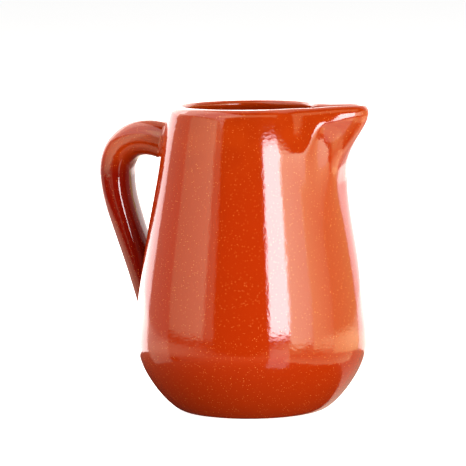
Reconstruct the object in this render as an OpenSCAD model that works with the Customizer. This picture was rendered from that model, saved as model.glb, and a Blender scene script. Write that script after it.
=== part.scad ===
// Small glazed clay jug with a pinched pouring lip and a strap handle.
// +Z is up, the lip points to +X and the handle to -X. The origin is the centre of the flat foot.

/* [Body] */
// Height of the rim above the table
jug_h = 130; // [100:1:180]
// Radius of the flat foot
foot_r = 30; // [22:0.5:36]
// Outer radius of the belly at its widest
belly_r = 49.5; // [44:0.5:58]
// Height of the widest place
belly_z = 29; // [24:0.5:40]
// Outer radius of the neck at the rim, before its shoulder is drawn in
mouth_r = 35.8; // [31:0.1:41]
// Inward lean of the neck at the rim, in degrees
neck_lean = 6; // [2:0.5:12]
// Rise of the underside where it leaves the foot, in degrees
foot_lift = 10; // [4:1:25]
// Height of the rounded rim
rim_h = 3; // [2.25:0.25:4]
// Thickness of the rolled rim
rim_t = 6; // [4.5:0.25:7]
// How far the wall is drawn in on the outside, just below the rim
shoulder_in = 1.3; // [0.6:0.1:2]
// Height of the band that is drawn in and swells to the rim
shoulder_h = 22; // [14:1:28]

/* [Wall] */
// Thickness of the thrown wall
wall_t = 4.2; // [3:0.1:5.5]
// Thickness of the floor
floor_t = 6; // [4:0.5:9]
// Radius of the flat part of the floor inside
well_r = 20; // [12:1:26]

/* [Lip] */
// How far the lip reaches out past the round of the neck
lip_reach = 17.7; // [10:0.1:22]
// Outer radius of the lip's nose, seen from above
lip_nose_r = 9; // [7:0.25:11]
// Height where the lip's throat starts to leave the wall
throat_z = 65; // [55:1:85]
// Height of the lip's upright edge below the rim
lip_edge_h = 3; // [2:0.25:6]
// How much higher that edge is beside the lip, where it runs out into the neck
lip_collar_h = 14; // [6:1:18]
// How far the lip is raised above the rim
lip_rise = 0.7; // [0:0.1:2]
// How deep thumb and finger press the lip's flanks in at the rim
lip_pinch = 2.8; // [0:0.1:3.4]
// Height where that pinch starts
pinch_z = 92; // [80:1:104]

/* [Handle] */
// Width of the strap
strap_w = 18; // [14:0.5:24]
// Thickness of the strap's rounded back, outside its centre line
strap_back_t = 9; // [6:0.25:10]
// Thickness of the strap's finger side, inside its centre line
strap_inner_t = 7.25; // [5:0.25:8]
// Distance of the strap's centre line from the jug's axis where it is furthest out
handle_reach = 61.3; // [58:0.1:68]
// How far below the rim the strap's centre line starts, inside the wall
root_drop = 20; // [18:0.25:24]
// How far below its start the strap is furthest out
bow_drop = 10.5; // [7:0.25:15]
// Climb of the strap where it leaves the neck, in degrees
root_climb = 30; // [15:1:40]
// Height where the strap's centre line ends, inside the wall
heel_z = 30.5; // [28:0.5:38]
// Slope of the strap where it runs into the belly, in degrees
heel_slope = 75.5; // [70:0.5:78]

/* [Slip joints] */
// Size of the slip fillet round the upper root
root_fillet = 2.4; // [1:0.2:3]
// Size of the slip fillet round the handle's heel
heel_fillet = 1.2; // [0.8:0.1:1.8]
// Seam left between one piece and the next
seam = 0.15; // [0.1:0.05:0.25]

/* [Hidden] */

clay = "#d8572b";
clay_handle = "#c64a22";
clay_slip = "#e0764f";

// Steps round the body, up its curves and over its rim
body_steps = 76;
under_steps = 9;
side_steps = 17;
rim_steps = 6;
bowl_steps = 8;

// Steps along and round the strap, over a slip fillet, and in from the edge of a root's face
strap_steps = 36;
section_steps = 30;
fillet_steps = 3;
face_steps = 3;

// Shares of the height or width that each curve keeps its end direction for
under_pull_share = 0.34;
low_belly_pull_share = 0.37;
high_belly_pull_share = 0.29;
neck_pull_share = 0.32;
bowl_wall_pull_share = 0.5;
bowl_floor_pull_share = 0.6;
// A cubic curve rises to 3/4 of its pulls
rim_pull_share = 4 / 3;
// Sharpness of the shoulder's curve
shoulder_power = 2.4;

// How the lip grows with height: sharpness of the throat's curve, its nose, its pinch and its raised edge
throat_power = 2.9;
nose_power = 1.5;
pinch_power = 2;
// Turns from the lip, in shares of a half turn, between which the edge grows higher
collar_from_share = 0.1;
collar_to_share = 0.19;
rise_power = 6;
rise_from_share = 0.1;
rise_full_share = 0.8;

// Crowding of the body's points towards the lip
crowd_share = 0.5;

// The strap's curve keeps its direction for these shares of its overhang, and of its drop from bow to heel
root_pull_share = 0.74;
bow_up_share = 0.66;
bow_down_share = 0.21;
heel_pull_share = 0.685;
// Share of the strap's length that lies before the bow, and thinning of the strap at its heel
bow_share = 0.34;
heel_thin_share = 0.65;
// Squareness of the strap's section on its back, finger side and edges
back_power = 2.3;
inner_power = 2.6;
edge_power = 2.3;
// The strap's centre line may be followed this much further into the wall
overrun_share = 0.05;
bisections = 22;

side_top = jug_h - rim_h;
side_h = side_top - belly_z;
lip_top = jug_h - lip_edge_h;

// Cubic curve through a and d, drawn towards b and c
function cubic(a, b, c, d, t) =
    pow(1 - t, 3) * a + 3 * pow(1 - t, 2) * t * b + 3 * (1 - t) * t * t * c + t * t * t * d;
function cubic_way(a, b, c, d, t) =
    3 * pow(1 - t, 2) * (b - a) + 6 * (1 - t) * t * (c - b) + 3 * t * t * (d - c);
function unit(v) = v / norm(v);
function clamped(x) = min(max(x, 0), 1);
function eased(x) = let (c = clamped(x)) c * c * (3 - 2 * c);
function signed_pow(x, p) = sign(x) * pow(abs(x), p);

// Outside of the pot from the foot's edge to the rim, as [radius, height]
function under_point(t) =
    let (pull = under_pull_share * (belly_r - foot_r))
    cubic([foot_r, 0],
          [foot_r + pull * cos(foot_lift), pull * sin(foot_lift)],
          [belly_r, belly_z * (1 - low_belly_pull_share)],
          [belly_r, belly_z], t);
function side_point(t) =
    let (pull = neck_pull_share * side_h)
    cubic([belly_r, belly_z],
          [belly_r, belly_z + high_belly_pull_share * side_h],
          [mouth_r + pull * tan(neck_lean), side_top - pull],
          [mouth_r, side_top], t);
// Inside of the pot under the belly, from the wall to the flat of the floor
function bowl_point(t) =
    let (inner_r = belly_r - wall_t, drop = belly_z - floor_t)
    cubic([inner_r, belly_z],
          [inner_r, belly_z - bowl_wall_pull_share * drop],
          [well_r + bowl_floor_pull_share * (inner_r - well_r), floor_t],
          [well_r, floor_t], t);

// Over the rim from the outer wall to the inner one. Both are drawn in there, and the inner one more.
rim_pull = rim_pull_share * rim_h;
rim_lean = rim_pull * [-tan(neck_lean), 1];
rim_outer = [mouth_r, side_top];
rim_inner = [mouth_r - wall_t, side_top];
function rim_point(t) = cubic(rim_outer, rim_outer + rim_lean, rim_inner + rim_lean, rim_inner, t);
rim_in = rim_t + shoulder_in - wall_t;
pull_share = 1 + shoulder_power * rim_pull / shoulder_h;
function rim_draw(t) = cubic(shoulder_in, shoulder_in * pull_share, rim_in * pull_share, rim_in, t);
function draw_share(z) = pow(clamped(1 - (side_top - z) / shoulder_h), shoulder_power);

// The whole wall as [radius, height, depth below the outer face, draw towards the axis]
outer_wall = concat(
    [for (i = [0 : under_steps - 1]) let (p = under_point(i / under_steps)) [p[0], p[1], 0, 0]],
    [for (i = [0 : side_steps]) let (p = side_point(i / side_steps))
        [p[0], p[1], 0, shoulder_in * draw_share(p[1])]]);
rim_roll = [for (i = [1 : rim_steps - 1]) let (t = i / rim_steps, p = rim_point(t))
    [p[0], p[1], mouth_r - p[0], rim_draw(t)]];
inner_wall = concat(
    [for (i = [side_steps : -1 : 1]) let (p = side_point(i / side_steps))
        [p[0] - wall_t, p[1], wall_t, rim_in * draw_share(p[1])]],
    [for (i = [0 : bowl_steps]) let (p = bowl_point(i / bowl_steps)) [p[0], p[1], wall_t, 0]]);
wall_line = concat(outer_wall, rim_roll, inner_wall);
body_r_table = [for (p = outer_wall) [p[1], p[0] - p[3]]];
function body_r(z) = lookup(z, body_r_table);

// Section of the lip: the round neck and a small nose, wrapped in two tangents that are pressed in
function collar(a) = lip_collar_h
    * eased((abs(a) / 180 - collar_from_share) / (collar_to_share - collar_from_share));
function lip_growth(z, a) = clamped((z - throat_z) / (lip_top - collar(a) - throat_z));
function lip_out(grown) = lip_reach * eased(pow(grown, throat_power));
function pressed(z, share) = lip_pinch * pow(sin(180 * share), 2)
    * pow(clamped((z - pinch_z) / (side_top - pinch_z)), pinch_power);
function wrapped_r(r, depth, z, grown, a) =
    let (
        out = lip_out(grown),
        nose_share = eased(pow(grown, nose_power)),
        nose = r * (1 - nose_share) + (lip_nose_r - depth) * nose_share,
        centre = max(r + out - nose, 0),
        tangent = centre > 0 ? acos(clamped((r - nose) / centre)) : 0,
        nose_end = atan2(nose * sin(tangent), centre + nose * cos(tangent))
    )
    out <= 0 || abs(a) >= tangent ? r
    : abs(a) > nose_end ? r / cos(tangent - abs(a)) - pressed(z, (abs(a) - nose_end) / (tangent - nose_end))
    : centre * cos(a) + sqrt(max(nose * nose - pow(centre * sin(a), 2), 0));
function lip_along(r, wrapped, out) = out > 0 ? clamped((wrapped - r) / out) : 0;
function edge_rise(along, grown) =
    lip_rise * pow(grown, rise_power)
        * eased((along - rise_from_share) / (rise_full_share - rise_from_share));

// Turn of each column of points, crowded towards the lip at 0
function column_turn(i) =
    let (t = i / body_steps, full = 360 * t - crowd_share * sin(360 * t) * 180 / PI)
    full > 180 ? full - 360 : full;
function wall_point(p, a) =
    let (
        grown = lip_growth(p[1], a),
        wrapped = wrapped_r(p[0], p[2], p[1], grown, a),
        along = lip_along(p[0], wrapped, lip_out(grown)),
        r = wrapped - p[3] * (1 - along)
    )
    [r * cos(a), r * sin(a), p[1] + edge_rise(along, grown)];

// Faces of a grid of rings, each ring one loop of points, with ring 0 first
function tube_faces(rings, steps) = [
    for (k = [0 : rings - 2]) for (i = [0 : steps - 1])
        let (j = (i + 1) % steps, a = k * steps + i, b = k * steps + j, c = a + steps, d = b + steps)
        each [[a, c, b], [b, c, d]]];

module thrown_body() {
    rings = len(wall_line);
    points = [for (p = wall_line) for (i = [0 : body_steps - 1]) wall_point(p, column_turn(i))];
    foot = [[for (i = [0 : body_steps - 1]) i]];
    well = [[for (i = [body_steps - 1 : -1 : 0]) (rings - 1) * body_steps + i]];
    color(clay)
        polyhedron(points, concat(tube_faces(rings, body_steps), foot, well));
}

// Centre line of the strap in the XZ plane, from inside the neck over the bow to inside the belly
root_z = jug_h - root_drop;
bow_z = root_z - bow_drop;
root_depth = strap_inner_t / 2 + root_fillet + seam;
heel_depth = strap_back_t * heel_thin_share + heel_fillet + 3 * seam;
root_at = [-(body_r(root_z) - root_depth), root_z];
heel_at = [-(body_r(heel_z) - heel_depth), heel_z];
bow_at = [-handle_reach, bow_z];
overhang = handle_reach - body_r(root_z);
drop = bow_z - heel_z;
root_pull = root_at + root_pull_share * overhang * [-cos(root_climb), sin(root_climb)];
bow_pull_up = bow_at + [0, bow_up_share * overhang];
bow_pull_down = bow_at - [0, bow_down_share * drop];
heel_pull = heel_at + heel_pull_share * drop * [-cos(heel_slope), sin(heel_slope)];

function strap_centre(s) = s < bow_share
    ? cubic(root_at, root_pull, bow_pull_up, bow_at, s / bow_share)
    : cubic(bow_at, bow_pull_down, heel_pull, heel_at, (s - bow_share) / (1 - bow_share));
function strap_way(s) = unit(s < bow_share
    ? cubic_way(root_at, root_pull, bow_pull_up, bow_at, s / bow_share)
    : cubic_way(bow_at, bow_pull_down, heel_pull, heel_at, (s - bow_share) / (1 - bow_share)));

// Point of the strap at share s of its length, at turn a of its section, grown by the given amount
function strap_point(s, a, grown = 0) =
    let (
        way = strap_way(s),
        thin = 1 - (1 - heel_thin_share) * s,
        thick = (cos(a) > 0 ? strap_back_t : strap_inner_t) * thin + grown,
        power = cos(a) > 0 ? back_power : inner_power,
        out = thick * signed_pow(cos(a), 2 / power),
        side = (strap_w / 2 + grown) * signed_pow(sin(a), 2 / edge_power),
        c = strap_centre(s)
    )
    [c[0] + out * way[1], side, c[1] - out * way[0]];
function depth_in_wall(p, lift) = body_r(p[2]) + lift - norm([p[0], p[1]]);

// Share of the strap's length where one of its lines meets the wall, lifted off it by the given amount
function meeting(a, grown, lift, buried, free, n = bisections) =
    let (mid = (buried + free) / 2)
    n == 0 ? mid
    : depth_in_wall(strap_point(mid, a, grown), lift) > 0 ? meeting(a, grown, lift, mid, free, n - 1)
    : meeting(a, grown, lift, buried, mid, n - 1);
function root_meeting(a, grown, lift) = meeting(a, grown, lift, 0, bow_share);
function heel_meeting(a, grown, lift) = meeting(a, grown, lift, 1 + overrun_share, bow_share);

section_turns = [for (i = [0 : section_steps - 1]) 360 * i / section_steps];

// A root's face follows the round wall: each inner loop is the edge drawn in towards its middle
function on_wall(turn, z, lift) =
    let (r = body_r(z) + lift)
    [-r * cos(turn), r * sin(turn), z];
function wall_turn(p) = atan2(p[1], -p[0]);
function face_loop(edge, share) =
    let (mid_z = (max([for (p = edge) p[2]]) + min([for (p = edge) p[2]])) / 2)
    [for (p = edge) on_wall(wall_turn(p) * share, mid_z + (p[2] - mid_z) * share, seam)];

module strap_handle() {
    roots = [for (a = section_turns) root_meeting(a, 0, seam)];
    heels = [for (a = section_turns) heel_meeting(a, 0, seam)];
    sides = [for (k = [0 : strap_steps]) [for (i = [0 : section_steps - 1])
        strap_point(roots[i] + (heels[i] - roots[i]) * k / strap_steps, section_turns[i])]];
    root_face = [for (k = [1 : face_steps - 1]) face_loop(sides[0], k / face_steps)];
    heel_face = [for (k = [face_steps - 1 : -1 : 1]) face_loop(sides[strap_steps], k / face_steps)];
    loops = concat(root_face, sides, heel_face);
    last = len(loops) * section_steps;
    middles = [face_loop(sides[0], 0)[0], face_loop(sides[strap_steps], 0)[0]];
    root_fan = [for (i = [0 : section_steps - 1]) [last, i, (i + 1) % section_steps]];
    heel_fan = [for (i = [0 : section_steps - 1])
        [last + 1, last - section_steps + (i + 1) % section_steps, last - section_steps + i]];
    color(clay_handle)
        polyhedron(concat([for (l = loops) each l], middles),
                   concat(tube_faces(len(loops), section_steps), root_fan, heel_fan));
}

// Hollow fillet round a root: its corner lies in the seam, and its edges run out on the wall and on the strap
function fillet_line(size) = concat(
    [[seam, seam]],
    [for (k = [0 : fillet_steps]) let (a = 90 * (1 - k / fillet_steps))
        [seam + size * (1 - cos(a)), seam + size * (1 - sin(a))]]);
// hand is 1 where the strap's line runs into the wall, and -1 where it runs out of it
module slip_ring(size, buried, hand) {
    line = fillet_line(size);
    loops = [for (q = line) [for (a = hand * section_turns)
        strap_point(meeting(a, q[0], q[1], buried, bow_share), a, q[0])]];
    color(clay_slip)
        polyhedron([for (l = loops) each l], ring_faces(len(line), section_steps));
}
// Faces of a ring whose last loop joins its first
function ring_faces(loops, steps) = [
    for (k = [0 : loops - 1]) for (i = [0 : steps - 1])
        let (
            j = (i + 1) % steps,
            a = k * steps + i,
            b = k * steps + j,
            c = ((k + 1) % loops) * steps + i,
            d = ((k + 1) % loops) * steps + j
        )
        each [[a, b, c], [b, d, c]]];

module upper_slip_joint() {
    slip_ring(root_fillet, 0, -1);
}

module lower_slip_joint() {
    slip_ring(heel_fillet, 1 + overrun_share, 1);
}

thrown_body();
strap_handle();
upper_slip_joint();
lower_slip_joint();
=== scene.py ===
"""Dresses the packed clay jug: thrown body, strap handle and the slip worked into its two joints.

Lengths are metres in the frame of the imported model: +Z up, the lip towards +X, the handle towards -X.
"""

import logging
import math
from bisect import bisect_left
from collections.abc import Callable, Iterable
from dataclasses import dataclass, field
from enum import Enum
from functools import cached_property

import bmesh
import bpy
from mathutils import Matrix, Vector


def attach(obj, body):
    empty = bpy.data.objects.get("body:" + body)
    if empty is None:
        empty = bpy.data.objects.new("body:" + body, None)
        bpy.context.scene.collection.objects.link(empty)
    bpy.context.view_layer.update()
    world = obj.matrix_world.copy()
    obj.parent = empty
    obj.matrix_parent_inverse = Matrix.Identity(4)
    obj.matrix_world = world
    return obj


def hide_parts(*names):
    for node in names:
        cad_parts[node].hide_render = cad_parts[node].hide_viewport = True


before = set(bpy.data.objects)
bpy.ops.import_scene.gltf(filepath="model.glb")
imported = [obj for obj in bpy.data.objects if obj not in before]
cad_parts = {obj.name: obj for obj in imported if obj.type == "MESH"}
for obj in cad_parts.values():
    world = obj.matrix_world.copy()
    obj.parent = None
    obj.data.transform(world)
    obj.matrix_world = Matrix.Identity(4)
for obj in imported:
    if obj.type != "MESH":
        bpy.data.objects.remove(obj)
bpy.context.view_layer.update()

MM = 0.001
ROOT_BODY = "root"
# Points closer than this are one point
MERGE_GAP = 0.001 * MM

log = logging.getLogger("jug")


def cubic(
    a: Vector | float, b: Vector | float, c: Vector | float, d: Vector | float, t: float
) -> Vector | float:
    """Point of the cubic curve from a to d that is drawn towards b and c.

    Args:
        a, b, c, d: The curve's four points, or four numbers.
        t: Place along the curve, from 0 to 1.

    Returns:
        The point at t.
    """
    s = 1 - t
    return s**3 * a + 3 * s * s * t * b + 3 * s * t * t * c + t**3 * d


def cubic_way(a: Vector, b: Vector, c: Vector, d: Vector, t: float) -> Vector:
    """Direction of the same cubic curve at t, not of unit length."""
    s = 1 - t
    return 3 * s * s * (b - a) + 6 * s * t * (c - b) + 3 * t * t * (d - c)


def clamped(x: float) -> float:
    """x, kept between 0 and 1."""
    return min(max(x, 0.0), 1.0)


def eased(x: float) -> float:
    """Smooth step from 0 to 1 as x goes from 0 to 1."""
    c = clamped(x)
    return c * c * (3 - 2 * c)


def signed_power(x: float, power: float) -> float:
    """|x| to the power, with the sign of x."""
    return math.copysign(abs(x) ** power, x)


def linear(hex_colour: str) -> tuple[float, float, float, float]:
    """Turns an sRGB hex colour to the linear RGBA that a shader socket takes.

    Args:
        hex_colour: Six hex digits after a #.

    Returns:
        Linear red, green and blue, and an alpha of 1.
    """
    shares = [int(hex_colour[i : i + 2], 16) / 255 for i in (1, 3, 5)]
    red, green, blue = (s / 12.92 if s <= 0.04045 else ((s + 0.055) / 1.055) ** 2.4 for s in shares)
    return red, green, blue, 1.0


def add_node(
    tree: bpy.types.NodeTree, kind: str, inputs: dict[str | int, object] | None = None, **settings: object
) -> bpy.types.Node:
    """Adds one node, sets it and links it.

    Args:
        tree: The node tree that gets the node.
        kind: The node's type name, without its ShaderNode prefix.
        inputs: Value or source socket for each input, by its name or index.
        settings: Properties of the node itself.

    Returns:
        The new node.
    """
    node = tree.nodes.new("ShaderNode" + kind)
    for name, value in settings.items():
        setattr(node, name, value)
    for key, value in (inputs or {}).items():
        if isinstance(value, bpy.types.NodeSocket):
            tree.links.new(value, node.inputs[key])
        else:
            node.inputs[key].default_value = value
    return node


def new_material(name: str) -> tuple[bpy.types.Material, bpy.types.NodeTree, bpy.types.Node]:
    """Starts a material.

    Args:
        name: What the real material is.

    Returns:
        The material, its node tree and its shader.
    """
    made = bpy.data.materials.new(name)
    made.use_nodes = True
    return made, made.node_tree, made.node_tree.nodes["Principled BSDF"]


@dataclass(frozen=True)
class GlazedTerracotta:
    """Red earthenware under a clear, brushed-on and fired glaze.

    To the eye: a deep orange-red clay seen through glass. The glaze mirrors the room sharply, but its
    skin has the fine dimples of orange peel, so the edge of each reflection is crinkled. Grains of
    temper and tiny pinholes in the clay show as pale specks.
    """

    clay: str = "#962e05"
    clay_thick: str = "#8f2904"
    speck: str = "#ffa055"
    # A clear glaze is a glass, and its fired skin is nearly smooth
    ior: float = 1.5
    roughness: float = 0.055
    cloud_mm: float = 11.0
    # Values of the cloud noise between which the glaze goes from thin to thick
    thin_at: float = 0.35
    thick_at: float = 0.65
    peel_mm: float = 1.2
    peel_height_mm: float = 0.035
    wave_mm: float = 9.0
    wave_height_mm: float = 0.03
    # The real grains are finer than this, too fine to show, so they are drawn as coarse as they need
    speck_cell_mm: float = 0.75
    speck_r_share: float = 0.18
    speck_core_share: float = 0.6
    speck_kept_share: float = 0.6
    # Painted shade: a darker colour that the clay goes to towards the bottom, and the heights between which
    # it comes in
    shade_colour: str | None = None
    shade_from: float = 109 * MM
    shade_to: float = 100 * MM

    def material(self) -> bpy.types.Material:
        """Builds the shader.

        Returns:
            The material, with its patterns on Object coordinates in real millimetres.
        """
        made, tree, shader = new_material("glazed_terracotta")
        place = add_node(tree, "TexCoord").outputs["Object"]
        cloud, wave, peel = (
            add_node(tree, "TexNoise", {"Vector": place, "Scale": 1 / (size_mm * MM), "Detail": detail})
            for size_mm, detail in ((self.cloud_mm, 2), (self.wave_mm, 1), (self.peel_mm, 3))
        )
        # Uneven thickness of the glaze, in clouds about as wide as a brush
        thick = add_node(tree, "MapRange", {0: cloud.outputs[0], 1: self.thin_at, 2: self.thick_at})
        clay = add_node(
            tree, "Mix",
            {0: thick.outputs[0], 6: linear(self.clay), 7: linear(self.clay_thick)},
            data_type="RGBA",
        )
        if self.shade_colour is not None:
            # Painted shade: darker from the upper of the two heights down to the lower one
            height = add_node(tree, "SeparateXYZ", {0: place}).outputs[2]
            depth = add_node(tree, "MapRange", {0: height, 1: self.shade_from, 2: self.shade_to})
            clay = add_node(
                tree, "Mix",
                {0: depth.outputs[0], 6: clay.outputs[2], 7: linear(self.shade_colour)},
                data_type="RGBA",
            )
        # Pale specks of temper, each a ball inside its own cell, with most cells left empty
        cells = add_node(tree, "TexVoronoi", {"Vector": place, "Scale": 1 / (self.speck_cell_mm * MM)})
        edge = self.speck_r_share
        dot = add_node(
            tree, "MapRange", {0: cells.outputs["Distance"], 1: edge, 2: edge * self.speck_core_share}
        )
        draw = add_node(tree, "SeparateColor", {0: cells.outputs["Color"]})
        kept = add_node(tree, "MapRange", {0: draw.outputs[0], 1: 1 - self.speck_kept_share, 2: 1.0})
        shown = add_node(tree, "Math", {0: dot.outputs[0], 1: kept.outputs[0]}, operation="MULTIPLY")
        speckled = add_node(
            tree, "Mix", {0: shown.outputs[0], 6: clay.outputs[2], 7: linear(self.speck)}, data_type="RGBA"
        )
        tree.links.new(speckled.outputs[2], shader.inputs["Base Color"])
        # Orange peel in the glaze over slow waves left by the throwing hand
        waves = add_node(tree, "Bump", {"Height": wave.outputs[0], "Distance": self.wave_height_mm * MM})
        skin = add_node(
            tree, "Bump",
            {"Height": peel.outputs[0], "Distance": self.peel_height_mm * MM, "Normal": waves.outputs[0]},
        )
        tree.links.new(skin.outputs[0], shader.inputs["Normal"])
        shader.inputs["Roughness"].default_value = self.roughness
        shader.inputs["IOR"].default_value = self.ior
        return made


@dataclass(frozen=True)
class BareClay:
    """Fired red earthenware with no glaze, wiped clean so that the foot doesn't stick to the kiln shelf.

    To the eye: dry, paler and quite matt, with the drag marks of grit.
    """

    clay: str = "#b4603c"
    dusty: str = "#c98560"
    roughness: float = 0.85
    grit_mm: float = 0.6
    grit_height_mm: float = 0.05

    def material(self) -> bpy.types.Material:
        """Builds the shader.

        Returns:
            The material of the foot's face.
        """
        made, tree, shader = new_material("bare_clay_foot")
        place = add_node(tree, "TexCoord").outputs["Object"]
        grit = add_node(tree, "TexNoise", {"Vector": place, "Scale": 1 / (self.grit_mm * MM), "Detail": 4})
        colour = add_node(
            tree, "Mix", {0: grit.outputs[0], 6: linear(self.clay), 7: linear(self.dusty)}, data_type="RGBA"
        )
        bump = add_node(tree, "Bump", {"Height": grit.outputs[0], "Distance": self.grit_height_mm * MM})
        tree.links.new(colour.outputs[2], shader.inputs["Base Color"])
        tree.links.new(bump.outputs[0], shader.inputs["Normal"])
        shader.inputs["Roughness"].default_value = self.roughness
        return made


@dataclass(frozen=True)
class WhitePaper:
    """Matt white background paper, rolled out wide under the jug and lit from all sides.

    To the eye: a plain pale ground with no sheen, which glows enough to hide where it ends.
    """

    colour: str = "#e6e6e6"
    lit_colour: str = "#ffffff"
    glow: float = 0.9
    roughness: float = 0.9

    def material(self) -> bpy.types.Material:
        """Builds the shader.

        Returns:
            The material of the floor.
        """
        made, _, shader = new_material("white_paper")
        shader.inputs["Base Color"].default_value = linear(self.colour)
        shader.inputs["Roughness"].default_value = self.roughness
        shader.inputs["Specular IOR Level"].default_value = 0.0
        shader.inputs["Emission Color"].default_value = linear(self.lit_colour)
        shader.inputs["Emission Strength"].default_value = self.glow
        return made


def finish_piece(
    bm: bmesh.types.BMesh, name: str, node: str, materials: Iterable[bpy.types.Material]
) -> bpy.types.Object:
    """Turns a finished bmesh into a piece that stands for one CAD node.

    Args:
        bm: The closed mesh, in its place. It is freed.
        name: Name of the piece.
        node: The CAD node that it replaces.
        materials: The piece's materials, in the order of its faces' indices.

    Returns:
        The piece.
    """
    bmesh.ops.recalc_face_normals(bm, faces=bm.faces)
    for face in bm.faces:
        face.smooth = True
    mesh = bpy.data.meshes.new(name)
    bm.to_mesh(mesh)
    bm.free()
    for material in materials:
        mesh.materials.append(material)
    piece = bpy.data.objects.new(name, mesh)
    bpy.context.scene.collection.objects.link(piece)
    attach(piece, ROOT_BODY)
    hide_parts(node)
    log.info("%s stands for %s with %d faces", name, node, len(mesh.polygons))
    return piece


@dataclass(frozen=True)
class PotForm:
    """Form of the thrown pot: its outer line, its wall, and the lip pulled out of its rim."""

    height: float = 130 * MM
    foot_r: float = 30 * MM
    belly_r: float = 49.5 * MM
    belly_z: float = 29 * MM
    mouth_r: float = 35.8 * MM
    neck_lean_deg: float = 6.0
    foot_lift_deg: float = 10.0
    wall: float = 4.2 * MM
    floor: float = 6 * MM
    well_r: float = 20 * MM
    lip_reach: float = 17.7 * MM
    lip_nose_r: float = 9 * MM
    throat_z: float = 65 * MM
    lip_edge: float = 3 * MM
    lip_rise: float = 0.7 * MM
    shoulder_in: float = 1.3 * MM
    shoulder_h: float = 22 * MM
    rim_h: float = 3 * MM
    rim_t: float = 6 * MM
    lip_pinch: float = 2.8 * MM
    pinch_z: float = 92 * MM
    lip_collar_h: float = 16 * MM
    lip_flank_h: float = 3.0 * MM
    under_pull_share: float = 0.34
    low_belly_pull_share: float = 0.37
    high_belly_pull_share: float = 0.29
    neck_pull_share: float = 0.32
    bowl_wall_pull_share: float = 0.5
    bowl_floor_pull_share: float = 0.6
    shoulder_power: float = 2.4
    throat_power: float = 2.9
    nose_power: float = 1.5
    pinch_power: float = 2.0
    crease_power: float = 3.6
    flank_full_share: float = 0.09
    draw_fade_power: float = 3.0
    collar_from_share: float = 0.1
    collar_to_share: float = 0.19
    rise_power: float = 6.0
    rise_from_share: float = 0.1
    rise_full_share: float = 0.8
    lip_softness_deg: float = 2.0
    outline_under_steps: int = 300
    outline_side_steps: int = 900

    @property
    def side_top(self) -> float:
        """Height where the outer wall ends and the rim's roll begins."""
        return self.height - self.rim_h

    def under_point(self, t: float) -> Vector:
        """Point of the underside.

        Args:
            t: Place along it, from 0 at the foot's edge to 1 at the belly.

        Returns:
            Radius and height.
        """
        pull = self.under_pull_share * (self.belly_r - self.foot_r)
        lift = math.radians(self.foot_lift_deg)
        return cubic(
            Vector((self.foot_r, 0)),
            Vector((self.foot_r + pull * math.cos(lift), pull * math.sin(lift))),
            Vector((self.belly_r, self.belly_z * (1 - self.low_belly_pull_share))),
            Vector((self.belly_r, self.belly_z)),
            t,
        )

    def side_point(self, t: float) -> Vector:
        """Point of the outer wall.

        Args:
            t: Place along it, from 0 at the belly to 1 under the rim.

        Returns:
            Radius and height.
        """
        rise = self.side_top - self.belly_z
        pull = self.neck_pull_share * rise
        return cubic(
            Vector((self.belly_r, self.belly_z)),
            Vector((self.belly_r, self.belly_z + self.high_belly_pull_share * rise)),
            Vector((self.mouth_r + pull * math.tan(math.radians(self.neck_lean_deg)), self.side_top - pull)),
            Vector((self.mouth_r, self.side_top)),
            t,
        )

    def bowl_point(self, t: float) -> Vector:
        """Point of the inside below the belly.

        Args:
            t: Place along it, from 0 at the belly to 1 at the flat of the floor.

        Returns:
            Radius and height.
        """
        inner_r = self.belly_r - self.wall
        drop = self.belly_z - self.floor
        return cubic(
            Vector((inner_r, self.belly_z)),
            Vector((inner_r, self.belly_z - self.bowl_wall_pull_share * drop)),
            Vector((self.well_r + self.bowl_floor_pull_share * (inner_r - self.well_r), self.floor)),
            Vector((self.well_r, self.floor)),
            t,
        )

    def rim_point(self, t: float) -> tuple[float, float, float]:
        """Point of the rim.

        Args:
            t: Place along it, from 0 at the outer wall to 1 at the inner one.

        Returns:
            Radius, height, and how far the shoulder draws it in.
        """
        # A cubic curve rises to three quarters of its pull
        pull = 4 / 3 * self.rim_h
        lean = -pull * math.tan(math.radians(self.neck_lean_deg))
        outer = Vector((self.mouth_r, self.side_top))
        inner = outer - Vector((self.wall, 0))
        r, z = cubic(outer, outer + Vector((lean, pull)), inner + Vector((lean, pull)), inner, t)
        more = 1 + self.shoulder_power * pull / self.shoulder_h
        draw = cubic(self.shoulder_in, self.shoulder_in * more, self.rim_in * more, self.rim_in, t)
        return r, z, draw

    @property
    def rim_in(self) -> float:
        """How far the inner wall is drawn in at the rim, which is rolled thicker than the wall."""
        return self.rim_t + self.shoulder_in - self.wall

    def draw_share(self, z: float) -> float:
        """Share of its draw that a wall has at a height, where the potter rounded it under the rim."""
        return clamped(1 - (self.side_top - z) / self.shoulder_h) ** self.shoulder_power

    @cached_property
    def outline(self) -> tuple[list[float], list[float]]:
        """Outer wall in fine steps.

        Returns:
            Its heights and its radii, from the foot's edge to the rim.
        """
        under, side = self.outline_under_steps, self.outline_side_steps
        line = [self.under_point(i / under) for i in range(under)]
        line += [self.side_point(i / side) for i in range(side + 1)]
        return [z for _, z in line], [r - self.shoulder_in * self.draw_share(z) for r, z in line]

    def outer_r(self, z: float) -> float:
        """Outer radius of the round pot, without its lip.

        Args:
            z: Height above the foot.

        Returns:
            The radius there.
        """
        heights, radii = self.outline
        i = min(max(bisect_left(heights, z), 1), len(heights) - 1)
        share = clamped((z - heights[i - 1]) / (heights[i] - heights[i - 1]))
        return radii[i - 1] + (radii[i] - radii[i - 1]) * share

    def collar_share(self, turn: float) -> float:
        """How far the lip's edge has grown into the collar beside it, at a turn from the lip."""
        width = self.collar_to_share - self.collar_from_share
        return eased((abs(turn) / math.pi - self.collar_from_share) / width)

    def flank_share(self, turn: float) -> float:
        """0 at the lip's tip and 1 on its flanks, where the pinch leaves a crease on top of the flare."""
        return eased(abs(turn) / math.pi / self.flank_full_share)

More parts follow.
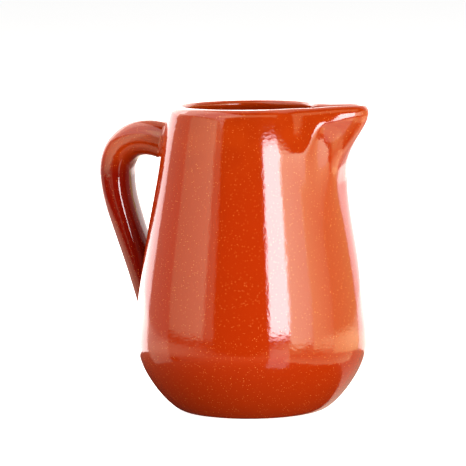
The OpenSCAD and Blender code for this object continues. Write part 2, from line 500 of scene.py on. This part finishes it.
    def collar(self, turn: float) -> float:
        """Height of the upright band above the flare, at a turn from the lip's tip."""
        beside = (self.lip_collar_h - self.lip_flank_h) * self.collar_share(turn)
        return self.lip_flank_h * self.flank_share(turn) + beside

    def lip_growth(self, z: float, turn: float) -> float:
        """Share of its way up that the lip has grown there, from 0 at its throat to 1 at its edge."""
        top = self.height - self.lip_edge - self.collar(turn)
        return clamped((z - self.throat_z) / (top - self.throat_z))

    def pinch(self, z: float) -> float:
        """How deep the lip's flanks are pressed in at a height."""
        share = clamped((z - self.pinch_z) / (self.side_top - self.pinch_z))
        return self.lip_pinch * share**self.pinch_power

    def lip_out(self, grown: float, turn: float) -> float:
        """Reach of the lip past the round neck, where it has grown by a share: creased under its collar."""
        soft = eased(grown**self.throat_power)
        return self.lip_reach * (soft + (grown**self.crease_power - soft) * self.flank_share(turn))


@dataclass(frozen=True)
class WallRow:
    """One row of the pot's wall before the lip is pulled: a ring that is level and round."""

    form: PotForm
    r: float
    z: float
    # How deep this skin lies below the outer face, and how far the shoulder draws it in
    depth: float = 0.0
    draw: float = 0.0

    def wrapped_r(self, turn: float) -> float:
        """Radius of the row once the lip is pulled: the round neck, a small nose and two pressed-in flanks.

        Args:
            turn: Angle round the pot from the lip, in radians.

        Returns:
            The radius, with sharp changes of curve.
        """
        form = self.form
        turn = abs(math.remainder(turn, math.tau))
        grown = form.lip_growth(self.z, turn)
        if grown <= 0 or self.r <= 0:
            return self.r
        share = eased(grown**form.nose_power)
        nose = self.r * (1 - share) + (form.lip_nose_r - self.depth) * share
        centre = self.r + form.lip_out(grown, turn) - nose
        tangent = math.acos(clamped((self.r - nose) / centre)) if centre > 0 else 0.0
        if turn >= tangent:
            return self.r
        nose_end = math.atan2(nose * math.sin(tangent), centre + nose * math.cos(tangent))
        if turn > nose_end:
            inward = form.pinch(self.z) * math.sin(math.pi * (turn - nose_end) / (tangent - nose_end)) ** 2
            return self.r / math.cos(tangent - turn) - inward
        return centre * math.cos(turn) + math.sqrt(max(nose**2 - (centre * math.sin(turn)) ** 2, 0))

    def soft_r(self, turn: float) -> float:
        """The wrapped radius, averaged over neighbouring turns, as wet clay rounds each change of curve.

        Args:
            turn: Angle round the pot from the lip, in radians.

        Returns:
            The rounded radius.
        """
        step = math.radians(self.form.lip_softness_deg) / 2
        # Binomial weights
        weights = {-2: 1, -1: 4, 0: 6, 1: 4, 2: 1}
        return sum(w * self.wrapped_r(turn + k * step) for k, w in weights.items()) / sum(weights.values())

    def point(self, turn: float) -> Vector:
        """Point of the finished wall at a turn from the lip.

        Args:
            turn: Angle round the pot, in radians.

        Returns:
            The point, pulled out and lifted with the lip, and drawn in with the shoulder elsewhere.
        """
        form, grown = self.form, self.form.lip_growth(self.z, turn)
        out = form.lip_out(grown, turn)
        r, along, rise = self.r, 0.0, 0.0
        if out > 0 and r > 0:
            r = self.soft_r(turn)
            along = (r - self.r) / out
            lift = eased((along - form.rise_from_share) / (form.rise_full_share - form.rise_from_share))
            rise = form.lip_rise * grown**form.rise_power * lift
        r -= self.draw * (1 - clamped(along) ** form.draw_fade_power)
        return Vector((r * math.cos(turn), r * math.sin(turn), self.z + rise))


@dataclass
class ThrownBody:
    """The pot itself, from its foot to its rolled rim and pinched lip, thrown from one lump of clay."""

    form: PotForm
    columns: int = 352
    crowding: float = 0.5
    floor_steps: int = 12
    under_steps: int = 26
    side_steps: int = 84
    rim_steps: int = 14
    bowl_steps: int = 22

    def wall_rows(self) -> list[WallRow]:
        """Section of the pot, as one row for each ring of points.

        Returns:
            Rows from the middle of the foot, up the outside, over the rim and down to the floor's middle.
        """
        form, wall = self.form, self.form.wall
        side = [form.side_point(i / self.side_steps) for i in range(self.side_steps + 1)]
        bowl = [form.bowl_point(i / self.bowl_steps) for i in range(self.bowl_steps + 1)]
        rows = [WallRow(form, form.foot_r * i / self.floor_steps, 0.0) for i in range(self.floor_steps)]
        rows += [WallRow(form, *form.under_point(i / self.under_steps)) for i in range(self.under_steps)]
        rows += [WallRow(form, r, z, 0.0, form.shoulder_in * form.draw_share(z)) for r, z in side]
        for i in range(1, self.rim_steps):
            r, z, draw = form.rim_point(i / self.rim_steps)
            rows.append(WallRow(form, r, z, form.mouth_r - r, draw))
        rows += [
            WallRow(form, r - wall, z, wall, form.rim_in * form.draw_share(z)) for r, z in reversed(side[1:])
        ]
        rows += [WallRow(form, r, z, wall) for r, z in bowl]
        return rows + [
            WallRow(form, form.well_r * (1 - i / self.floor_steps), form.floor, wall)
            for i in range(1, self.floor_steps + 1)
        ]

    def build(
        self, glaze: bpy.types.Material, bare: bpy.types.Material, inside: bpy.types.Material
    ) -> bpy.types.Object:
        """Spins the section into the pot and pulls its lip.

        Args:
            glaze: Material of the outside and the rim.
            bare: Material of the foot's face.
            inside: Material of the inside.

        Returns:
            The piece.
        """
        bm = bmesh.new()
        row_of = bm.verts.layers.int.new("row")
        rows = self.wall_rows()
        tip = bm.verts.new((rows[0].r, 0, rows[0].z))
        for i, row in enumerate(rows[1:], 1):
            tip = bmesh.ops.extrude_vert_indiv(bm, verts=[tip])["verts"][0]
            tip.co = (row.r, 0, row.z)
            tip[row_of] = i
        bmesh.ops.spin(
            bm, geom=bm.verts[:] + bm.edges[:], cent=(0, 0, 0), axis=(0, 0, 1), dvec=(0, 0, 0),
            angle=math.tau, steps=self.columns, use_merge=True, use_duplicate=False,
        )
        bmesh.ops.remove_doubles(bm, verts=bm.verts, dist=MERGE_GAP)
        for v in bm.verts:
            # The columns are crowded towards the lip
            even = math.atan2(v.co.y, v.co.x)
            v.co = rows[v[row_of]].point(even - self.crowding * math.sin(even))
        first_inner = self.floor_steps + self.under_steps + self.side_steps + self.rim_steps
        for face in bm.faces:
            if all(v.co.z < MERGE_GAP for v in face.verts):
                face.material_index = 1
            elif all(v[row_of] >= first_inner for v in face.verts):
                face.material_index = 2
        return finish_piece(bm, "thrown_pot", "thrown_body", (glaze, bare, inside))


class Root(Enum):
    """The two places where the strap is set on the pot."""

    UPPER = "upper"
    LOWER = "lower"


@dataclass(frozen=True)
class StrapForm:
    """Form of the pulled strap: its centre line in the XZ plane and its rounded section."""

    pot: PotForm
    width: float = 18 * MM
    back: float = 9 * MM
    inner: float = 7.25 * MM
    reach: float = 61.3 * MM
    bow_z: float = 99.5 * MM
    root_z: float = 110 * MM
    root_climb_deg: float = 30.0
    heel_z: float = 30.5 * MM
    heel_slope_deg: float = 75.5
    root_fillet: float = 2.4 * MM
    heel_fillet: float = 1.2 * MM
    seam: float = 0.15 * MM
    root_pull_share: float = 0.74
    bow_up_share: float = 0.66
    bow_down_share: float = 0.21
    heel_pull_share: float = 0.685
    bow_share: float = 0.34
    heel_thin_share: float = 0.65
    back_power: float = 2.3
    inner_power: float = 2.6
    edge_power: float = 2.3
    overrun_share: float = 0.05

    @cached_property
    def upper_curve(self) -> tuple[Vector, Vector, Vector, Vector]:
        """Centre line from inside the neck to the bow.

        Returns:
            The four points of its cubic curve, in the XZ plane.
        """
        depth = self.inner / 2 + self.root_fillet + self.seam
        overhang = self.reach - self.pot.outer_r(self.root_z)
        climb = math.radians(self.root_climb_deg)
        start = Vector((-(self.pot.outer_r(self.root_z) - depth), self.root_z))
        bow = Vector((-self.reach, self.bow_z))
        pull = self.root_pull_share * overhang * Vector((-math.cos(climb), math.sin(climb)))
        return start, start + pull, bow + Vector((0, self.bow_up_share * overhang)), bow

    @cached_property
    def lower_curve(self) -> tuple[Vector, Vector, Vector, Vector]:
        """Centre line from the bow to inside the belly.

        Returns:
            The four points of its cubic curve, in the XZ plane.
        """
        depth = self.back * self.heel_thin_share + self.heel_fillet + 3 * self.seam
        drop = self.bow_z - self.heel_z
        slope = math.radians(self.heel_slope_deg)
        end = Vector((-(self.pot.outer_r(self.heel_z) - depth), self.heel_z))
        bow = Vector((-self.reach, self.bow_z))
        pull = self.heel_pull_share * drop * Vector((-math.cos(slope), math.sin(slope)))
        return bow, bow - Vector((0, self.bow_down_share * drop)), end + pull, end

    def line_at(self, s: float) -> tuple[Vector, Vector]:
        """Centre line of the whole strap.

        Args:
            s: Share of the strap's length, from 0 in the neck to 1 in the belly.

        Returns:
            The centre and the unit direction there.
        """
        if s < self.bow_share:
            curve, t = self.upper_curve, s / self.bow_share
        else:
            curve, t = self.lower_curve, (s - self.bow_share) / (1 - self.bow_share)
        return cubic(*curve, t), cubic_way(*curve, t).normalized()

    def section_point(self, line: tuple[Vector, Vector], s: float, turn: float, grown: float = 0.0) -> Vector:
        """Point of the strap's skin.

        Args:
            line: Centre and direction there.
            s: Share of the strap's length.
            turn: Angle round the section, 0 on the back of the strap.
            grown: How far the skin is lifted off.

        Returns:
            The point.
        """
        centre, way = line
        thin = 1 - (1 - self.heel_thin_share) * s
        on_back = math.cos(turn) > 0
        thick = (self.back if on_back else self.inner) * thin + grown
        out = thick * signed_power(math.cos(turn), 2 / (self.back_power if on_back else self.inner_power))
        side = (self.width / 2 + grown) * signed_power(math.sin(turn), 2 / self.edge_power)
        return Vector((centre[0] + out * way[1], side, centre[1] - out * way[0]))

    def point(self, s: float, turn: float, grown: float = 0.0) -> Vector:
        """Point of the strap's skin at share s of its length and angle turn of its section."""
        return self.section_point(self.line_at(s), s, turn, grown)

    def meeting(
        self, root: Root, turn: float, grown: float = 0.0, lift: float = 0.0, steps: int = 22
    ) -> float:
        """Share of the strap's length where one of its long lines runs into the wall.

        Args:
            root: Which end of the strap.
            turn: The line's angle round the section.
            grown: How far the line is lifted off the strap.
            lift: How far the wall's skin is lifted off.
            steps: Number of halvings.

        Returns:
            The share.
        """
        buried = 0.0 if root is Root.UPPER else 1 + self.overrun_share
        free = self.bow_share
        for _ in range(steps):
            mid = (buried + free) / 2
            p = self.point(mid, turn, grown)
            inside = self.pot.outer_r(p.z) + lift > math.hypot(p.x, p.y)
            buried, free = (mid, free) if inside else (buried, mid)
        return (buried + free) / 2


def sweep_loops(
    bm: bmesh.types.BMesh, sides: int, stations: int, place: Callable[[int, int], Vector]
) -> tuple[list[bmesh.types.BMEdge], list[bmesh.types.BMEdge]]:
    """Extrudes a round loop of points from station to station and puts each point in its place.

    Args:
        bm: The empty mesh that it is made in.
        sides: Points round the loop.
        stations: Number of loops.
        place: Gives the point for a station and a side.

    Returns:
        The edges of the first and of the last loop.
    """
    side_of = bm.verts.layers.int.new("side")
    ring = bmesh.ops.create_circle(bm, cap_ends=False, segments=sides, radius=1.0)["verts"]
    for i, v in enumerate(ring):
        v[side_of] = i
    first = edges = bm.edges[:]
    for k in range(stations):
        if k:
            made = bmesh.ops.extrude_edge_only(bm, edges=edges)["geom"]
            ring = [g for g in made if isinstance(g, bmesh.types.BMVert)]
            edges = [g for g in made if isinstance(g, bmesh.types.BMEdge) and all(v in ring for v in g.verts)]
        for v in ring:
            v.co = place(k, v[side_of])
    return first, edges


@dataclass
class StrapHandle:
    """The handle: a tongue of clay pulled by hand, whose two ends are cut to the wall that they sit on."""

    form: StrapForm
    steps: int = 120
    sides: int = 72
    face_steps: int = 3
    sunk: float = 0.3 * MM

    def build(self, glaze: bpy.types.Material) -> bpy.types.Object:
        """Sweeps the section from wall to wall and closes its two ends against the pot.

        Args:
            glaze: The strap's material.

        Returns:
            The piece.
        """
        form = self.form
        turns = [math.tau * i / self.sides for i in range(self.sides)]
        roots = [form.meeting(Root.UPPER, a, lift=-self.sunk) for a in turns]
        heels = [form.meeting(Root.LOWER, a, lift=-self.sunk) for a in turns]
        root_edge = [form.point(s, a) for s, a in zip(roots, turns)]
        heel_edge = [form.point(s, a) for s, a in zip(heels, turns)]
        faces = self.face_steps

        def place(k: int, i: int) -> Vector:
            """Puts the strap's loops in place: out over the root's face, along the skin, in over the heel's.

            Args:
                k: Number of the loop.
                i: Number of the point on it.

            Returns:
                The point.
            """
            if k < faces:
                return self.on_face(root_edge, i, (k + 1) / (faces + 1))
            k -= faces
            if k <= self.steps:
                return form.point(roots[i] + (heels[i] - roots[i]) * k / self.steps, turns[i])
            return self.on_face(heel_edge, i, 1 - (k - self.steps) / (faces + 1))

        bm = bmesh.new()
        for edges in sweep_loops(bm, self.sides, self.steps + 1 + 2 * faces, place):
            bmesh.ops.contextual_create(bm, geom=edges)
        return finish_piece(bm, "strap", "strap_handle", (glaze,))

    def on_face(self, edge: list[Vector], i: int, share: float) -> Vector:
        """Point of a root's face, on the round wall under its edge.

        Args:
            edge: The face's outer loop.
            i: Which point of the loop.
            share: 1 at the edge and 0 in the middle of the face.

        Returns:
            The point, sunk into the wall as the strap's ends are.
        """
        heights = [p.z for p in edge]
        middle = (max(heights) + min(heights)) / 2
        z = middle + (edge[i].z - middle) * share
        turn = math.atan2(edge[i].y, -edge[i].x) * share
        r = self.form.pot.outer_r(z) - self.sunk
        return Vector((-r * math.cos(turn), r * math.sin(turn), z))


@dataclass
class SlipJoint:
    """Slip worked into the seam round one end of the strap, as a hollow fillet that feathers out on both."""

    form: StrapForm
    root: Root
    name: str
    node: str
    size: float
    steps: int = 10
    sides: int = 96
    sunk: float = 0.03 * MM
    core: float = 0.3 * MM

    def build(self, glaze: bpy.types.Material) -> bpy.types.Object:
        """Sweeps the fillet's section round the strap's end and closes it into a ring.

        Args:
            glaze: The fillet's material.

        Returns:
            The piece.
        """
        line = [(-self.core, -self.core)]
        for k in range(self.steps + 1):
            a = math.radians(90 * (1 - k / self.steps))
            line.append(tuple(self.size * (1 - share) - self.sunk for share in (math.cos(a), math.sin(a))))

        def place(k: int, i: int) -> Vector:
            """Puts the fillet's long lines in place, where the strap runs into the wall.

            Args:
                k: Number of the line across the fillet.
                i: Number of the point on it, round the strap.

            Returns:
                The point.
            """
            grown, lift = line[k]
            turn = math.tau * i / self.sides
            return self.form.point(self.form.meeting(self.root, turn, grown, lift), turn, grown)

        bm = bmesh.new()
        first, last = sweep_loops(bm, self.sides, len(line), place)
        bmesh.ops.bridge_loops(bm, edges=first + last)
        return finish_piece(bm, self.name, self.node, (glaze,))


def bearing_vector(bearing_deg: float, elevation_deg: float) -> Vector:
    """Direction from the jug to a bearing: 0 is towards -Y and 90 towards +X.

    Args:
        bearing_deg: Bearing round the jug.
        elevation_deg: Height above the horizon.

    Returns:
        The unit vector.
    """
    a, e = math.radians(bearing_deg), math.radians(elevation_deg)
    return Vector((math.sin(a) * math.cos(e), -math.cos(a) * math.cos(e), math.sin(e)))


def new_lamp(name: str, width: float, height: float, radiance: float, colour: str) -> bpy.types.Object:
    """Adds a flat rectangular light that no camera ray sees.

    Args:
        name: Name of the light.
        width: Its size along its own X.
        height: Its size along its own Y.
        radiance: Brightness of its face.
        colour: Its sRGB colour.

    Returns:
        The light's object, at the origin and facing down.
    """
    lamp = bpy.data.lights.new(name, "AREA")
    lamp.shape = "RECTANGLE"
    lamp.size, lamp.size_y = width, height
    lamp.color = linear(colour)[:3]
    lamp.energy = math.pi * radiance * width * height
    held = bpy.data.objects.new(name, lamp)
    bpy.context.scene.collection.objects.link(held)
    held.visible_camera = False
    return held


def fade_lamp(lamp: bpy.types.Light, ramps: Iterable[tuple[int, dict[int, float], str]]) -> None:
    """Fades a light across its face with the product of several ramps.

    Args:
        lamp: The light, changed in place.
        ramps: For each ramp its axis on the face (0 to the right, 1 down towards the light's own -Y, both
            from 0 to 1), the sockets of its map range, and the kind of its steps.
    """
    lamp.use_nodes = True
    tree = lamp.node_tree
    place = add_node(tree, "SeparateXYZ", {0: add_node(tree, "NewGeometry").outputs["Parametric"]})
    product: bpy.types.NodeSocket | float = 1.0
    for axis, sockets, steps in ramps:
        ramp = add_node(tree, "MapRange", {0: place.outputs[axis], **sockets}, interpolation_type=steps)
        product = add_node(tree, "Math", {0: product, 1: ramp.outputs[0]}, operation="MULTIPLY").outputs[0]
    tree.links.new(product, tree.nodes["Emission"].inputs["Strength"])


@dataclass(frozen=True)
class Softbox:
    """A flat soft light that fills a window of the jug's sky, given by its edges in degrees."""

    name: str
    bearings: tuple[float, float]
    elevations: tuple[float, float]
    radiance: float
    colour: str = "#ffe9d0"
    distance: float = 1.6
    # Radiance at the right edge, where the light changes evenly across its width
    radiance_right: float | None = None
    # Share of the radiance that is left at its lower edge
    low_share: float = 1.0

    def hang(self, aim: Vector) -> bpy.types.Object:
        """Makes the light and turns it to the jug.

        Args:
            aim: The point that it faces.

        Returns:
            The light's object.
        """
        width, height = (
            2 * self.distance * math.tan(math.radians(b - a) / 2) for a, b in (self.bearings, self.elevations)
        )
        back = bearing_vector(sum(self.bearings) / 2, sum(self.elevations) / 2)
        held = new_lamp(self.name, width, height, self.radiance, self.colour)
        if self.radiance_right is not None or self.low_share < 1:
            right_share = 1.0 if self.radiance_right is None else self.radiance_right / self.radiance
            across = (0, {3: 1.0, 4: right_share}, "LINEAR")
            down = (1, {3: 1.0, 4: self.low_share}, "LINEAR")
            fade_lamp(held.data, (across, down))
        held.location = aim + back * self.distance
        held.rotation_mode = "QUATERNION"
        held.rotation_quaternion = back.to_track_quat("Z", "Y")
        return held


@dataclass(frozen=True)
class PaperGlow:
    """A lit patch of the white paper on the table, which the jug's lower belly and lip mirror.

    It is brightest along its middle, and fades to all four edges, as light on paper does round a shadow.
    """

    name: str
    bearing_deg: float
    # Distances of its two edges from the jug's axis
    reach: tuple[float, float]
    width: float
    radiance: float
    colour: str
    # Shares of its depth over which it comes up from its near edge and from its far one
    near_share: float = 0.2
    far_share: float = 0.6
    lift: float = 0.5 * MM

    def lay(self) -> bpy.types.Object:
        """Makes the patch as a light that lies on the table and shines up.

        Returns:
            The light's object.
        """
        near, far = self.reach
        laid = new_lamp(self.name, self.width, far - near, self.radiance, self.colour)
        # A rise to the right times a fall to the right is an arch, 1 high at the middle. On the other
        # axis, 0 is the far edge and 1 the near one
        rise_right = (0, {2: 1.0, 3: 0.0, 4: 2.0}, "LINEAR")
        fall_right = (0, {2: 1.0, 3: 2.0, 4: 0.0}, "LINEAR")
        from_near = (1, {1: 1.0, 2: 1 - self.near_share}, "SMOOTHSTEP")
        from_far = (1, {2: self.far_share}, "SMOOTHSTEP")
        fade_lamp(laid.data, (rise_right, fall_right, from_near, from_far))
        laid.location = bearing_vector(self.bearing_deg, 0) * (near + far) / 2 + Vector((0, 0, self.lift))
        laid.rotation_euler = (math.pi, 0, math.radians(self.bearing_deg))
        return laid


@dataclass
class Studio:
    """Plain white sweep, soft light and the camera of the photograph."""

    aim: Vector = field(default_factory=lambda: Vector((0, 0, 65 * MM)))
    camera_bearing_deg: float = 22.0
    camera_elevation_deg: float = 6.83
    camera_distance: float = 1350 * MM
    # Focal length as a share of the picture's width, from the photograph's perspective
    focal_share: float = 6.786
    aim_right: float = -7.59 * MM
    aim_up: float = 10.24 * MM
    roll_deg: float = 0.667
    sensor_mm: float = 36.0
    floor_r: float = 12.0
    floor_sides: int = 96
    # The world's strength from the sides, from below, and in the glaze's mirror
    fill: float = 0.07
    table_fill: float = 1.0
    mirrored_dark: float = 0.015
    # Height of a direction, -1 straight down, where the light from below begins and where it is full
    below_from: float = -0.45
    below_full: float = -0.8

    def softboxes(self) -> tuple[Softbox, ...]:
        """The lights, by their bearings to the right (+) and left of the camera's own.

        Returns:
            One entry for each light, in degrees. An elevation over 90 is past the zenith.
        """
        b = self.camera_bearing_deg
        return (
            Softbox("window", (b + 17, b + 37.5), (-2.5, 19.3), 19.5, "#fff8fc"),
            Softbox("window_wall", (b + 37.5, b + 62), (-6, 18.4), 6.9, "#ffffda", radiance_right=4.6),
            Softbox("warm_wall", (b + 62, b + 88), (-8, 21), 4.6, "#fff4b4", radiance_right=2.0),
            Softbox("far_wall", (b + 88, b + 130), (-14, 21.5), 1.8, "#fff2a0", radiance_right=1.2),
            Softbox("left_screen", (b - 90, b - 48), (-4, 24.3), 1.35, "#ffffd3", radiance_right=2.75),
            Softbox("left_screen_side", (b - 48, b - 38), (-4, 24.3), 1.0, "#ffffd3"),
            Softbox("left_wall", (b - 124, b - 90), (-26, 30), 0.8),
            Softbox("left_backdrop", (b - 180, b - 124), (-14, 40), 4.2, "#fff4f4"),
            Softbox("right_backdrop", (b + 130, b + 180), (-14, 40), 2.4, "#fff2ee"),
            Softbox("left_high", (b - 125, b - 40), (28, 75), 2.4, "#fff4ee"),
            Softbox("ceiling", (b - 62, b + 62), (95, 160), 1.2, distance=1.2),
            Softbox(
                "table_right", (b + 36, b + 118), (-32, -7), 2.2, "#fff4b4",
                radiance_right=1.4, low_share=0.0,
            ),
            Softbox(
                "table_right_behind", (b + 100, b + 180), (-34, -12), 0.2, "#ffe8d0",
                radiance_right=1.6, low_share=0.0,
            ),
            Softbox("front_high", (b - 35, b + 45), (36, 62), 1.9, "#ffe8a0"),
            Softbox("table_under_window", (b + 17, b + 36), (-38, -6), 1.7, "#fff6f0"),
        )

    def papers(self) -> tuple[PaperGlow, ...]:
        """Lit patches of the table round the jug, at bearings to the right (+) and left of the camera.

        Returns:
            Every patch.
        """
        b = self.camera_bearing_deg
        return (
            PaperGlow("paper_front", b, (31 * MM, 240 * MM), 250 * MM, 1.5, "#ff9060", 0.3),
            PaperGlow("paper_window", b + 42, (60 * MM, 600 * MM), 360 * MM, 2.2, "#ffe898"),
            PaperGlow("paper_right", b + 92, (31 * MM, 560 * MM), 460 * MM, 2.6, "#ffecb0", 0.1),
            PaperGlow("paper_left", b - 72, (31 * MM, 420 * MM), 420 * MM, 1.8, "#ffd8b0", 0.12),
            PaperGlow("paper_left_behind", b - 150, (40 * MM, 1000 * MM), 760 * MM, 3.2, "#ffe8d8", 0.1),
            PaperGlow("paper_right_behind", b + 150, (40 * MM, 900 * MM), 700 * MM, 1.8, "#fff2ec", 0.1),
        )

    def build(self) -> None:
        """Sets up the world, the floor, the lights and the camera."""
        self.build_world()
        self.build_floor()
        for box in self.softboxes():
            box.hang(self.aim)
        for paper in self.papers():
            paper.lay()
        self.build_camera()
        bpy.context.scene.view_settings.view_transform = "Standard"

    def build_world(self) -> None:
        """Makes the world round the jug.

        The camera sees it white, and the glaze mirrors it nearly dark. All else gets a low fill, with the
        light of the table from steeply below.
        """
        world = bpy.data.worlds.new("studio")
        bpy.context.scene.world = world
        world.use_nodes = True
        tree = world.node_tree
        ray = add_node(tree, "LightPath")
        way = add_node(tree, "SeparateXYZ", {0: add_node(tree, "TexCoord").outputs["Generated"]})
        fill = add_node(
            tree, "MapRange",
            {0: way.outputs[2], 1: self.below_from, 2: self.below_full, 3: self.fill, 4: self.table_fill},
        )
        unseen = add_node(
            tree, "Mix", {0: ray.outputs["Is Glossy Ray"], 2: fill.outputs[0], 3: self.mirrored_dark}
        )
        strength = add_node(tree, "Mix", {0: ray.outputs["Is Camera Ray"], 2: unseen.outputs[0], 3: 1.0})
        background = tree.nodes["Background"]
        background.inputs["Color"].default_value = linear("#ffffff")
        tree.links.new(strength.outputs[0], background.inputs["Strength"])

    def build_floor(self) -> None:
        """A wide round floor at the height of the foot, which only the camera sees."""
        bm = bmesh.new()
        bmesh.ops.create_circle(bm, cap_ends=True, segments=self.floor_sides, radius=self.floor_r)
        mesh = bpy.data.meshes.new("floor")
        bm.to_mesh(mesh)
        bm.free()
        mesh.materials.append(WhitePaper().material())
        floor = bpy.data.objects.new("floor", mesh)
        bpy.context.scene.collection.objects.link(floor)
        floor.visible_diffuse = floor.visible_glossy = floor.visible_shadow = False

    def build_camera(self) -> None:
        """Puts the camera where the photograph was taken from."""
        back = bearing_vector(self.camera_bearing_deg, self.camera_elevation_deg)
        right = Vector((0, 0, 1)).cross(back).normalized()
        up = back.cross(right)
        eye = self.aim + back * self.camera_distance
        look = self.aim + right * self.aim_right + up * self.aim_up
        data = bpy.data.cameras.new("camera")
        data.sensor_width = self.sensor_mm
        data.lens = self.focal_share * self.sensor_mm
        held = bpy.data.objects.new("camera", data)
        bpy.context.scene.collection.objects.link(held)
        held.location = eye
        held.rotation_euler = (eye - look).to_track_quat("Z", "Y").to_euler()
        held.rotation_euler.rotate_axis("Z", -math.radians(self.roll_deg))
        bpy.context.scene.camera = held


def main() -> None:
    """Builds the jug's pieces in order, then the studio."""
    logging.basicConfig(level=logging.INFO, format="%(name)s: %(message)s")
    # Painted shade on the outside: darker from 120 mm down to 90 mm, as less light falls there than on top
    glaze = GlazedTerracotta(shade_colour="#912704", shade_from=120 * MM, shade_to=90 * MM).material()
    # Painted shade on the handle: it darkens from 109 mm down to 100 mm, where the pot shades it from the
    # window
    handle_shaded_glaze = GlazedTerracotta(shade_colour="#700d02").material()
    # Painted shade inside the pot: it darkens from the rim at 130 mm down to 118 mm
    inside_shaded_glaze = GlazedTerracotta(shade_colour="#7e1002", shade_from=130 * MM, shade_to=118 * MM).material()
    bare = BareClay().material()
    pot = PotForm()
    strap = StrapForm(pot)
    ThrownBody(pot).build(glaze, bare, inside_shaded_glaze)
    StrapHandle(strap).build(handle_shaded_glaze)
    SlipJoint(strap, Root.UPPER, "upper_slip", "upper_slip_joint", strap.root_fillet).build(glaze)
    SlipJoint(strap, Root.LOWER, "lower_slip", "lower_slip_joint", strap.heel_fillet).build(glaze)
    Studio().build()


if __name__ == "__main__":
    main()
